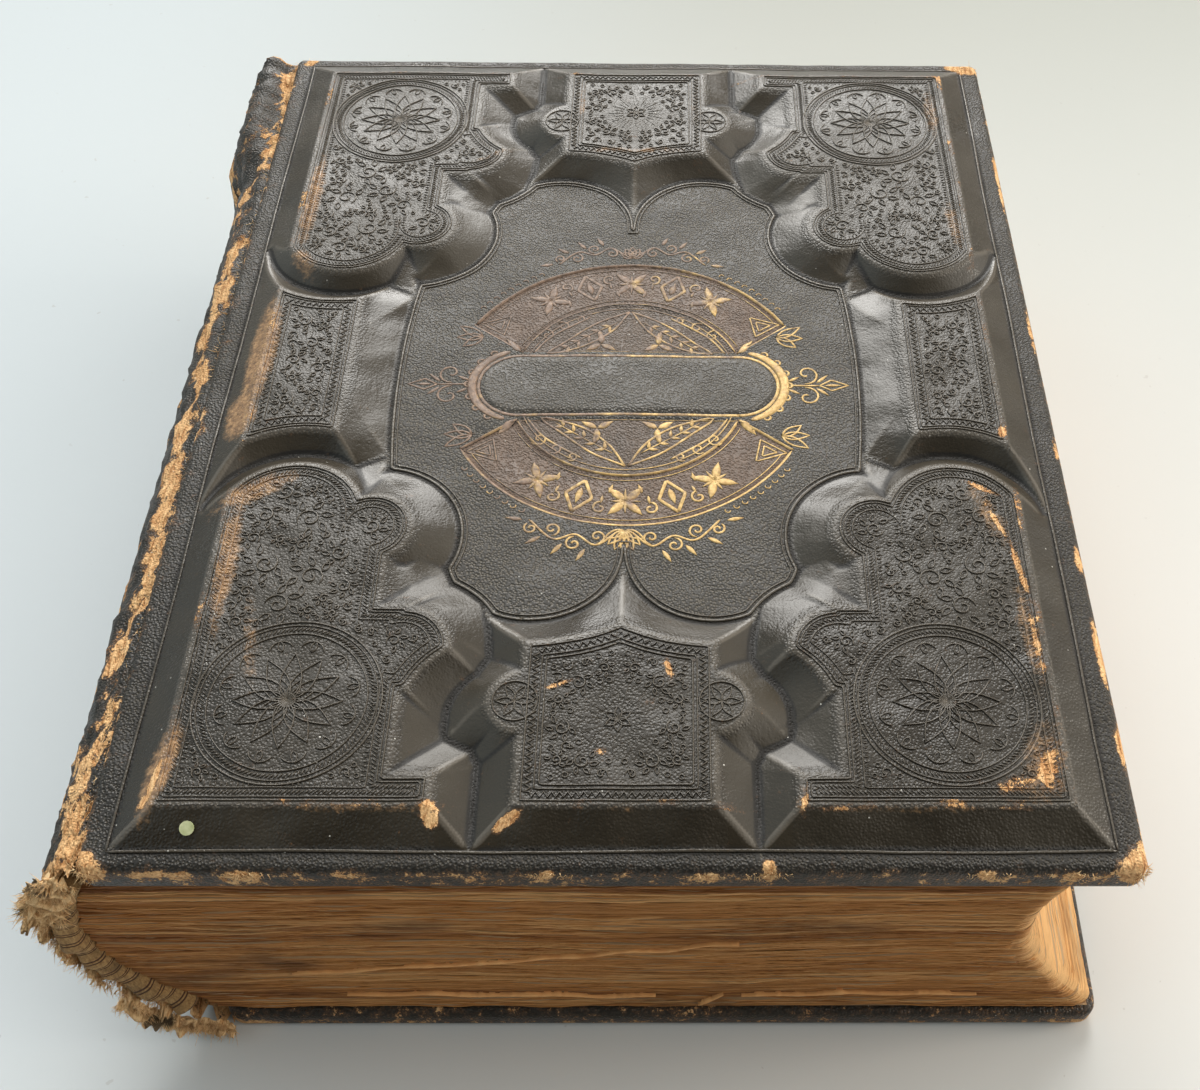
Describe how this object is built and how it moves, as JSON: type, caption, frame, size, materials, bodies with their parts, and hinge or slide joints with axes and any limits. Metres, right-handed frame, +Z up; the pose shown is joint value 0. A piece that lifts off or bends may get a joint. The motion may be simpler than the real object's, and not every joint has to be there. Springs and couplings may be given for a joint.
{
  "type": "family bible",
  "caption": "Large old family bible lying closed: dark leather cover with deep raised panels and a gilt centre ornament, round worn spine, thick brown text block.",
  "frame": {"origin": "centre of the back cover's flat underside, which lies on the table", "axes": "+X from the spine towards the fore-edge, +Y from the tail towards the head, +Z up towards the front cover"},
  "size_m": [0.2807, 0.321, 0.1097],
  "materials": {
    "cover_leather": "black-brown pebbled leather, burnished on the slopes, rubbed to tan at every edge",
    "millboard": "raw grey-brown millboard",
    "endpaper": "aged matt paper",
    "page_paper": "browned page edges with fine lines",
    "mull_cloth": "open glue-stained muslin",
    "hemp_cord": "frayed hemp",
    "striped_band_cloth": "tan cloth with dark red-brown stripes, frayed",
    "sticker_paper": "pale yellow-green paper"
  },
  "bodies": {
    "text_block": {"gathering_01": "page_paper", "gathering_02": "page_paper", "gathering_03": "page_paper", "gathering_04": "page_paper", "gathering_05": "page_paper", "gathering_06": "page_paper", "gathering_07": "page_paper", "gathering_08": "page_paper", "gathering_09": "page_paper", "gathering_10": "page_paper", "gathering_11": "page_paper", "gathering_12": "page_paper", "gathering_13": "page_paper", "gathering_14": "page_paper", "gathering_15": "page_paper", "gathering_16": "page_paper", "back_flyleaf": "endpaper", "sewing_cord_1": "hemp_cord", "sewing_cord_2": "hemp_cord", "sewing_cord_3": "hemp_cord", "sewing_cord_4": "hemp_cord", "sewing_cord_5": "hemp_cord", "mull": "mull_cloth", "spine_lining": "endpaper", "spine_stiffener": "millboard", "spine_leather": "cover_leather", "head_band": "striped_band_cloth", "tail_band": "striped_band_cloth", "front_joint_leather": "cover_leather", "back_joint_leather": "cover_leather"},
    "front_cover": {"front_cover_leather": "cover_leather", "front_board": "millboard", "front_pastedown": "endpaper", "corner_panel_head_fore_edge": "millboard", "corner_panel_head_spine": "millboard", "corner_panel_tail_spine": "millboard", "corner_panel_tail_fore_edge": "millboard", "side_panel_fore_edge": "millboard", "side_panel_spine": "millboard", "shield_panel_head": "millboard", "shield_panel_tail": "millboard", "round_sticker": "sticker_paper"},
    "back_cover": {"back_cover_leather": "cover_leather", "back_board": "millboard", "back_pastedown": "endpaper"},
    "turning_flyleaf": {"front_flyleaf": "endpaper"},
    "turning_frontispiece": {"frontispiece_leaf": "endpaper"},
    "turning_title": {"title_leaf": "endpaper"}
  },
  "joints": [
    {"name": "front_cover_hinge", "type": "hinge", "parent": "text_block", "child": "front_cover", "pos_m": [-0.1375, 0, 0.1], "axis": [0, -1, 0], "range_deg": [0, 180], "deforming": ["front_joint_leather"]},
    {"name": "back_cover_hinge", "type": "hinge", "parent": "text_block", "child": "back_cover", "pos_m": [-0.1265, 0, 0.0045], "axis": [0, 1, 0], "range_deg": [0, 180], "deforming": ["back_joint_leather"]},
    {"name": "flyleaf_turn", "type": "hinge", "parent": "text_block", "child": "turning_flyleaf", "pos_m": [-0.1355, 0, 0.09425], "axis": [0, -1, 0], "range_deg": [0, 90]},
    {"name": "frontispiece_turn", "type": "hinge", "parent": "text_block", "child": "turning_frontispiece", "pos_m": [-0.1345, 0, 0.09365], "axis": [0, -1, 0], "range_deg": [0, 75.6]},
    {"name": "title_turn", "type": "hinge", "parent": "text_block", "child": "turning_title", "pos_m": [-0.1335, 0, 0.09305], "axis": [0, -1, 0], "range_deg": [0, 61.2]}
  ],
  "couplings": [
    {"joint": "flyleaf_turn", "follows": "front_cover_hinge", "ratio": 0.5},
    {"joint": "frontispiece_turn", "follows": "front_cover_hinge", "ratio": 0.42},
    {"joint": "title_turn", "follows": "front_cover_hinge", "ratio": 0.34}
  ]
}
